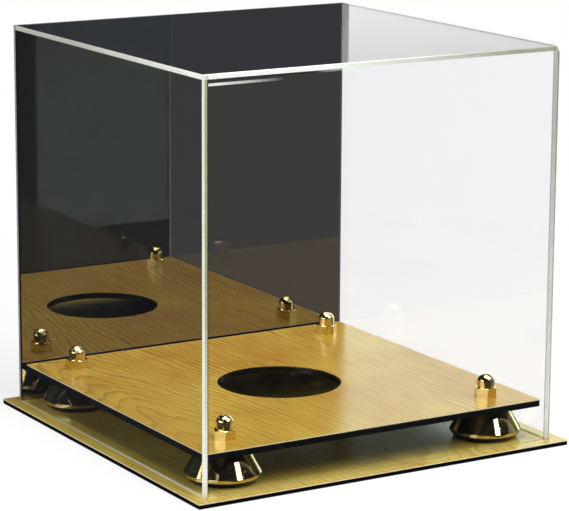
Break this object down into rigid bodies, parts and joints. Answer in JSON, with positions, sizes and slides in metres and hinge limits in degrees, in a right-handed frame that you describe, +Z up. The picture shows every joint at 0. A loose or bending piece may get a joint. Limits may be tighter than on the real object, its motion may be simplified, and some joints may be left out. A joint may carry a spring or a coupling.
{
  "type": "bowling ball display case",
  "caption": "Clear lift-off box with a mirror back over a woodgrain platform on gold cone risers, with a round seat hole that holds a bowling ball on show.",
  "frame": {"origin": "middle of the base board's underside, where the case stands", "axes": "+Z up; -Y towards the clear front panel, +Y towards the mirror; +X to the right seen from the front"},
  "size_m": [0.273, 0.273, 0.259],
  "materials": {
    "black_acrylic": "gloss",
    "woodgrain_laminate": "satin",
    "gold_plate": "polished",
    "zinc_steel": "satin",
    "clear_acrylic": "polished",
    "acrylic_mirror": "polished"
  },
  "bodies": {
    "base": {"base_board": "black_acrylic", "platform_board": "black_acrylic", "base_woodgrain_sheet": "woodgrain_laminate", "platform_woodgrain_sheet": "woodgrain_laminate", "riser_front_left": "gold_plate", "nut_front_left": "gold_plate", "screw_front_left": "zinc_steel", "riser_front_right": "gold_plate", "nut_front_right": "gold_plate", "screw_front_right": "zinc_steel", "riser_back_left": "gold_plate", "nut_back_left": "gold_plate", "screw_back_left": "zinc_steel", "riser_back_right": "gold_plate", "nut_back_right": "gold_plate", "screw_back_right": "zinc_steel"},
    "cover": {"left_wall": "clear_acrylic", "right_wall": "clear_acrylic", "lid_panel": "clear_acrylic", "front_panel": "clear_acrylic", "mirror_panel": "acrylic_mirror"}
  },
  "joints": [
    {"name": "cover_lift", "type": "slide", "parent": "base", "child": "cover", "axis": [0, 0, 1], "range_m": [0, 0.26]}
  ]
}
